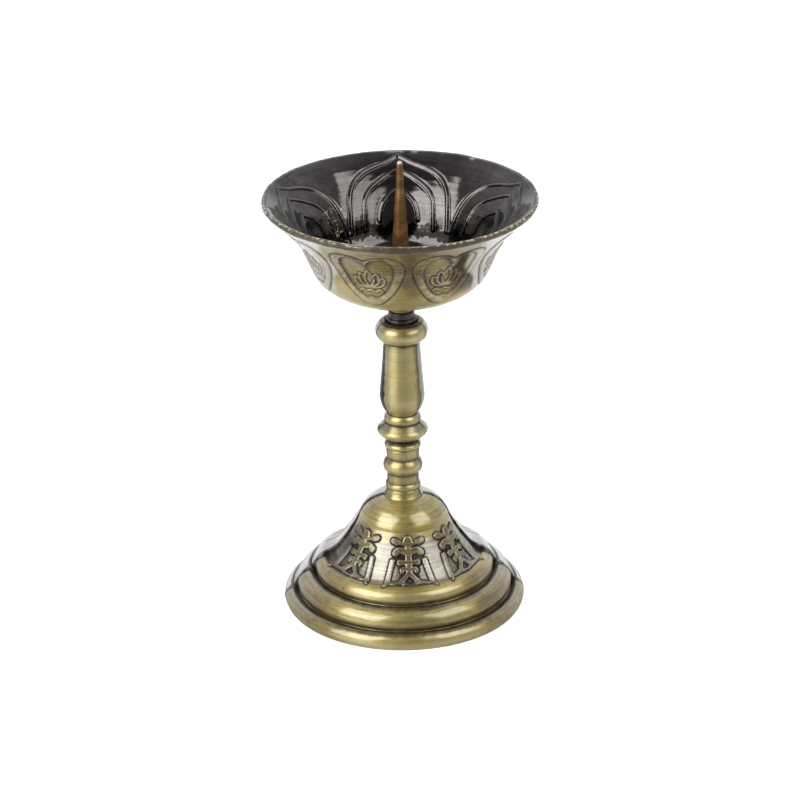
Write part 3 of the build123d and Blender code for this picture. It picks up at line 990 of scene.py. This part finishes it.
def plain_rows(r, z, nr, nz, spacing):
    return np.minimum(spacing, SMALL_ROW)


def groove_patina(grid, share=1.0):
    """Black in the grooves, by a share for each row, and bright on the ridges of the outline."""
    grid.darken(share * step_up(*GROOVE_DEPTHS, grid.cavity))
    grid.brighten(step_up(*RIDGE_HEIGHTS, -grid.cavity))


def shade_below(grid, corner, seed):
    """Patina and painted shade on the ring below a groove, with a black line along the groove."""
    below = grid.run[grid.row_at(corner)] - grid.run
    aside = step_up(25, 70, off_faces(grid))
    frayed = below + 0.25 * ragged(grid.angles, seed, 160, 0.15)
    fade = 1 - step_up(1.7 - 0.9 * aside, 3.9 + 1.3 * aside, frayed)
    shaded = step_up(-0.3, 0.1, below) * fade
    grid.darken((0.9 - 0.22 * aside) * shaded)
    grid.stain(0.6 * shaded)
    grid.fade("lining", 0.8 * shaded * (1 - aside))
    grid.leave_bare(0.45 * aside * shaded)
    grid.darken(window(below, (-0.5, -0.2), (0.3, 0.8)))


def shade_rings(grid):
    """Patina on the foot's rings, darker at the sides, with painted shade on the right and low on the
    left.
    """
    rings = (grid.z < FLARE_LOW[1]) & (grid.nr > 0)
    aside = off_faces(grid) + 4 * ragged(grid.angles, 63, 60, 0.5)
    grid.darken(0.44 * rings * step_up(30.0, 50.0, aside))
    grid.stain(0.5 * rings * step_up(20.0, 45.0, aside))
    # Painted shade on the rings' right side.
    grid.darken(0.15 * rings * window(grid.angles, *RIGHT_SIDE))
    left = window(-grid.angles, *LEFT_SIDE)
    lowest, lower = (rings & (grid.z < height) for _, height in FOOT_GROOVES)
    # Patina on the lower rings; on their left, and more on the lowest ring's left, painted shade.
    grid.darken((0.18 + 0.1 * left) * lower)
    grid.darken(0.55 * lowest * left)
    grid.leave_bare(0.12 * rings * step_up(56.0, 76.0, aside))
    for seed, corner in enumerate(FOOT_GROOVES):
        shade_below(grid, corner, 60 + seed)


def dress_flare(grid):
    """The flare's low roll along its edge, its bare plating, its ornaments and its tarnished side."""
    low, high = (grid.run[grid.row_at(spot)] for spot in (FLARE_LOW, FLARE_HIGH))
    grid.height += 0.25 * band_profile(grid.run - low, 1.2, 1.1)
    up_flare = (grid.run - low) / (high - low)
    bare = window(up_flare, (0.05, 0.18), (0.76, 0.92))
    grid.leave_bare(0.5 * bare)
    # Painted shade: the bare band darker on the right.
    grid.darken((0.36 + 0.1 * window(grid.angles, *RIGHT_SIDE)) * bare)
    # An amber stain along the flare's lower edge, darkened further as painted shade.
    below = band_profile(up_flare, -0.03, 0.09)
    grid.stain(0.45 * below)
    grid.darken(0.2 * below)
    tarnish = 1 - step_up(22.0, 48.0, np.abs(grid.angles - TARNISH_MIDDLE))
    tarnish = tarnish * window(up_flare, (-0.05, 0.1), (0.8, 1.1))
    grid.darken(0.75 * tarnish)
    grid.fade("lining", 0.6 * tarnish)
    for middle in ORNAMENT_MIDDLES:
        for k in (-1, 0, 1):
            angle = middle + k * ORNAMENT_PITCH
            foot_ornament(Panel(grid, FLARE_LOW, FLARE_HIGH, angle, ORNAMENT_PITCH / 2))
    grid.darken(0.57 * tarnish)


def build_base(material):
    grid = Turned("base", BASE_COLUMNS, base_rows, seam_columns(SEAMS["base"]))
    groove_patina(grid, np.where(grid.z > FLARE_HIGH[1], 0.3, 0.0))
    grid.darken(0.1 * ((grid.z > DOME_SHOULDER[1]) & (grid.nr > 0)))
    shade_rings(grid)
    dress_flare(grid)
    strip = unbrushed_strips(grid, SEAMS["base"])
    grid.height *= 1 - 0.6 * strip
    filled = 0.72 - 0.5 * step_up(12.0, 17.0, grid.z)
    fill_grooves(grid, FOOT_CREST, DOME_SHOULDER, strip, filled)
    add_seams(grid, SEAMS["base"], bare=1.0, tone=0.1, line_width=1.2, seed=11)
    grid.height += uneven(grid, 0.02, 3) * step_up(0.3, 1.5, grid.z)
    hollow = (grid.nr < -0.05) & (grid.nz < 0.5) | (grid.nz < -0.95)
    grid.darken(0.55 * hollow)
    turned_object("foot_with_palmettes", grid, "base", "stand", material)


def stem_sides(grid, seams, greyed, seed):
    """Grey plating or a brown stain on the stem in front of each seam."""
    rough = 2 * uneven(grid, 1.0, seed, (1.5, 9.0))
    upward = step_up(0.2, 0.6, grid.nz)
    for behind, grey in zip(behind_seams(grid, seams), greyed):
        ahead = rough - behind
        reach = step_up(10.0, 28.0, ahead - 22.0 * upward)
        dull = np.maximum(grey, upward) * step_up(-1.0, 1.0, ahead) * (1 - reach)
        grid.leave_bare(0.25 * dull)
        grid.darken(0.3 * dull)
        brown = (1 - grey) * band_profile(ahead, 6.0, 6.0)
        grid.stain(brown)
        grid.darken(0.45 * brown)


def outside_between(grid, low, high):
    """1 on the outside's rows between two heights."""
    return (grid.z > low) & (grid.z < high) & (grid.nr > 0.5)


def blacken_stem(grid, seams, seed):
    """Black left in the bulb's mouth and on the stem's left side, painted shade in the recess below the
    disc, and a painted highlight on the baluster's front.
    """
    from_mouth = step_up(BULB_MOUTH[0] - 0.6, BULB_MOUTH[0] + 0.6, grid.r)
    mouth = (grid.z > BULB_MOUTH[1]) * (1 - from_mouth)
    grid.darken(step_up(0.4, 0.6, mouth * (1 + 0.1 * ragged(grid.angles, seed, 40, 0.3))))
    # Painted shade, with an amber tint, in the recess below the disc.
    recess = outside_between(grid, *DISC_RECESS)
    grid.darken(0.8 * recess)
    grid.stain(0.7 * recess)
    side = outside_between(grid, *BALUSTER_SIDE)
    behind = behind_seams(grid, seams)[0] + 2 * uneven(grid, 1.0, seed, (1.5, 9.0))
    # Painted highlight: the baluster's front brightened.
    grid.brighten(0.5 * side * (np.abs(grid.angles) < 60))
    broken = step_up(-0.5, 0.3, uneven(grid, 1.0, seed + 5, (1.5, 6.0)))
    reach = np.maximum(side, 0.9 * broken * (grid.z < BALUSTER_SIDE[0]))
    black = reach * window(behind, (-2.0, 1.0), (30.0, 34.0))
    grid.darken(black)
    grid.fade("worn", black)


def build_stem(node, name, material, greyed, strip_tone, seed):
    seams = SEAMS[node]
    grid = Turned(node, STEM_COLUMNS, stem_rows, seam_columns(seams))
    groove_patina(grid, 0.85)
    grid.stain(0.7 * step_up(0.05, 0.3, grid.cavity))
    # Painted shade on the undersides.
    grid.darken(step_up(0.62, 0.9, -grid.nz) * (grid.nr > 0.1))
    add_seams(grid, seams, bare=0.75, tone=strip_tone, line_width=0.45, seed=seed)
    stem_sides(grid, seams, greyed, seed + 2)
    blacken_stem(grid, seams, seed)
    grid.height += uneven(grid, 0.015, seed + 1) * (grid.nr > 0.3)
    turned_object(name, grid, node, "stand", material)


def plate_inside(grid, inside):
    """Dark plating in the bowl, darker at the sides as painted shade, with a painted dark reflection in a
    ring and two painted reflections low down.
    """
    grid.leave_bare(inside)
    # Painted shade: the inside darker at the sides.
    at_sides = step_up(0.75, 0.95, np.abs(np.sin(np.radians(grid.angles))))
    grid.darken((0.79 + 0.07 * at_sides) * inside)
    # A painted dark reflection in a ring.
    frayed = grid.r + 0.5 * ragged(grid.angles, 15, 120, 0.25)
    dark_reflection = step_up(-0.2, 0.2, frayed - BOWL_DARK_REFLECTION[0]) * step_up(-0.2, 0.2, BOWL_DARK_REFLECTION[1] - frayed)
    grid.darken(inside * dark_reflection)
    # Two painted reflections low down, where the patina is faded.
    low = inside * (1 - step_up(*BOWL_PAINTED_REFLECTION, grid.r))
    for middle in PAINTED_REFLECTION_MIDDLES:
        aside = wrapped(grid.angles - middle) + 3 * ragged(grid.angles, 14, 90, 0.2)
        grid.fade("patina", 0.5 * low * step_up(0.15, 0.35, bump_profile(aside, 15)))


def tone_outside(grid, past_edge, inside):
    """The bowl's outside: bare plating at the sides, a dark lip, brown stains with painted shade, and
    painted reflections on the sides and the underside.
    """
    upper = step_up(-0.60 * OUTSIDE_WALL, -0.50 * OUTSIDE_WALL, past_edge)
    rough = 7 * uneven(grid, 1.0, 8, (5.0, 25.0))
    plated_from = PLATED_SIDE - PLATED_SLANT * past_edge
    plated = step_up(-3.0, 3.0, off_faces(grid) + 0.4 * rough - plated_from)
    grid.leave_bare(0.95 * upper * plated)
    # The plated sides brightened as a painted reflection.
    grid.brighten(0.9 * upper * plated * (1 - inside))
    lip = step_up(-2.6, -1.4, past_edge) * (1 - inside)
    grid.fade("lining", lip)
    # The dark amber on the right and the stain between two hearts, darkened further as painted shade.
    dark_side = step_up(-3.0, 3.0, grid.angles - BROWN_FROM + 0.3 * rough) * (1 - plated)
    dark_side = dark_side * (grid.angles < TURN / 4) * (1 - step_up(-10.0, -5.0, past_edge))
    between = band_profile(grid.angles + 0.5 * rough, BETWEEN_HEARTS, 9) * upper
    wall = step_up(-0.54 * OUTSIDE_WALL, -0.38 * OUTSIDE_WALL, past_edge)
    brown = np.maximum(upper * dark_side, 0.5 * between) * (1 - lip)
    tone = 0.14 * wall + 0.46 * lip + 0.66 * brown
    grid.darken(tone * (1 - inside) * (1 - 0.7 * grid.fields["lining"]))
    grid.stain(np.minimum(1.6 * brown, 1))
    # The lower outside brightened as a painted reflection.
    grid.brighten(0.8 * (1 - wall) * (1 - inside))


def carve_bowl(grid):
    """Hearts outside, petals inside and gold flecks at the back of the inside."""
    mottle = step_up(-0.7, 0.6, uneven(grid, 1.0, 21, (0.8, 2.6), 40))
    for panel in panels_round(grid, BOWL_BOTTOM, BOWL_LIP, HEART_COUNT, HEART_FIRST):
        heart_cartouche(panel, mottle)
    for panel in panels_round(grid, BOWL_FLOOR_EDGE, BOWL_RIM_INSIDE, PETAL_COUNT, PETAL_FIRST):
        inside_petal(panel)
    gold_flecks(Panel(grid, *FLECKS_ROWS, FLECKS_MIDDLE, FLECKS_HALF_ANGLE), count=55, seed=9)


def wear_rim(grid, past_edge, front):
    """A speckled, nicked and slightly uneven edge."""
    grid.fade("worn", (past_edge > -1.5) & (past_edge < 3.0))
    speckled = step_up(0.4, 0.9, uneven(grid, 1.0, 16, (0.7, 2.0), 40))
    edge = band_profile(past_edge, 0.7 * front, 0.6)
    grid.darken(0.7 * edge * (1 - speckled))
    grid.leave_bare(0.7 * edge * speckled)
    grid.brighten(edge * speckled)
    grid.fade("patina", 0.9 * edge * speckled)
    nicks = step_up(0.7, 1.0, ragged(grid.angles, 12, 50, 0.2))
    grid.fade("patina", band_profile(past_edge, 1.6, 0.5) * nicks)
    grid.height += 0.07 * band_profile(past_edge, 0, 1.2) * ragged(grid.angles, 6, 90, 0.7)


def build_bowl(material):
    grid = Turned("bowl", BOWL_COLUMNS, bowl_rows)
    groove_patina(grid)
    past_edge = grid.run - grid.run[grid.row_at(BOWL_EDGE)]
    chipped = ragged(grid.angles, 5, 60, 0.5)
    front = step_up(0.2, 0.8, np.cos(np.radians(grid.angles)))
    inside = step_up(0.0, 0.4, past_edge - 1.2 * front - 0.35 * chipped)
    plate_inside(grid, inside)
    tone_outside(grid, past_edge, inside)
    carve_bowl(grid)
    wear_rim(grid, past_edge, front)
    grid.height += uneven(grid, 0.025, 7)
    turned_object("lotus_bowl", grid, "bowl", "bowl_unit", material)


def build_collar(material):
    grid = Turned("bowl_collar", SMALL_COLUMNS, plain_rows)
    turned_object("screw_collar", grid, "bowl_collar", "bowl_unit", material)


def build_spike(material):
    grid = Turned("candle_spike", SMALL_COLUMNS, plain_rows)
    tip = grid.z.max()
    # A painted highlight on the tip.
    grid.brighten(step_up(tip - 1.2, tip - 0.3, grid.z))
    above = window(grid.z, SPIKE_FOOT, (tip - 1.0, tip))
    grid.height += uneven(grid, 0.05, 21, (3.0, 9.0)) * above
    turned_object("pricket_spike", grid, "candle_spike", "bowl_unit", material)


def dress_hardware():
    """Materials for the CAD nodes that keep their own shape."""
    finishes = {
        steel(): ("tie_rod", "base_washer", "lock_washer", "base_nut"),
        leather(): ("collar_washer",),
        copper(): ("spike_seal",),
    }
    for material, nodes in finishes.items():
        for node in nodes:
            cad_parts[node].data.materials[0] = material


# Stage

def build_floor():
    mesh = bpy.data.meshes.new("studio_floor")
    corners = [(x, y, 0) for y in (FLOOR_FRONT, FLOOR_REACH) for x in (-FLOOR_REACH, FLOOR_REACH)]
    mesh.from_pydata(corners, [], [(0, 1, 3, 2)])
    mesh.materials.append(pale_paper())
    floor = new_object("studio_floor", mesh)


def build_world():
    """White for the camera; in reflections white behind and dim on the camera's side."""
    world = bpy.data.worlds.new("studio")
    bpy.context.scene.world = world
    nodes = NodeTree(world)
    rays, mirrored = nodes.light_path()
    direction = nodes.add("TexCoord").outputs["Generated"]
    depth = nodes.parts(direction)[1]
    room = nodes.spread(depth, -0.55, 0.85, 0.12, 1.0, interpolation_type="SMOOTHSTEP")
    level = nodes.blend(rays["Is Camera Ray"], nodes.blend(mirrored, 0.28, room), 1.0)
    light = nodes.add("Background", {"Color": (1, 1, 1, 1), "Strength": level})
    nodes.add("OutputWorld", {"Surface": light.outputs[0]})


def aim(made, place, target, roll=0.0):
    """Puts an object at a place and points it at a target, with a roll in degrees."""
    facing = (target - place).to_track_quat("-Z", "Y")
    made.location = place
    made.rotation_mode = "QUATERNION"
    made.rotation_quaternion = facing @ Quaternion((0, 0, 1), math.radians(roll))


def build_softbox(name, azimuth, elevation, width, height, brightness):
    """A large square lamp aimed at the stem; azimuth from the camera's side, towards +X."""
    lamp = bpy.data.lights.new(name, "AREA")
    lamp.shape = "RECTANGLE"
    lamp.size, lamp.size_y = width, height
    lamp.energy = brightness * math.pi * width * height
    a, e = math.radians(azimuth), math.radians(elevation)
    back = Vector((math.sin(a) * math.cos(e), -math.cos(a) * math.cos(e), math.sin(e)))
    target = Vector(SOFTBOX_AIM)
    holder = new_object(name, lamp)
    aim(holder, target + back * SOFTBOX_DISTANCE, target)
    holder.visible_camera = False


def build_camera():
    camera = bpy.data.cameras.new("photo_camera")
    camera.lens = CAMERA_LENS_MM
    camera.sensor_width = CAMERA_SENSOR_MM
    holder = new_object("photo_camera", camera)
    aim(holder, Vector(CAMERA_PLACE), Vector(CAMERA_AIM), CAMERA_ROLL)
    bpy.context.scene.camera = holder


def main():
    build_base(plated_brass("antique_brass_brushed", roughness=0.46, lines=0.11, scratch_depth=0.3,
                            amber_share=0.7, lacquer_ior=1.85))
    satin = plated_brass("antique_brass_satin", roughness=0.40, lines=0.06, scratch_depth=0.22,
                         amber_share=0.3, lacquer_ior=1.6)
    build_stem("lower_stem", "stem_with_beads", satin, greyed=(0, 0), strip_tone=0.4, seed=31)
    build_stem("upper_stem", "stem_baluster", satin, greyed=(1, 0), strip_tone=0.45, seed=41)
    build_bowl(plated_brass("bowl_brass_and_plating", roughness=0.44, lines=0.07, scratch_depth=0.26,
                            amber_share=0.5, lacquer_ior=1.5))
    build_collar(dark_brass())
    build_spike(spike_metal())
    dress_hardware()
    build_floor()
    build_world()
    build_softbox("left_box", azimuth=-50, elevation=31, width=0.80, height=1.0, brightness=3.9)
    build_softbox("right_box", azimuth=57, elevation=40, width=0.72, height=0.74, brightness=2.8)
    build_camera()
    bpy.context.scene.view_settings.view_transform = "Standard"


main()
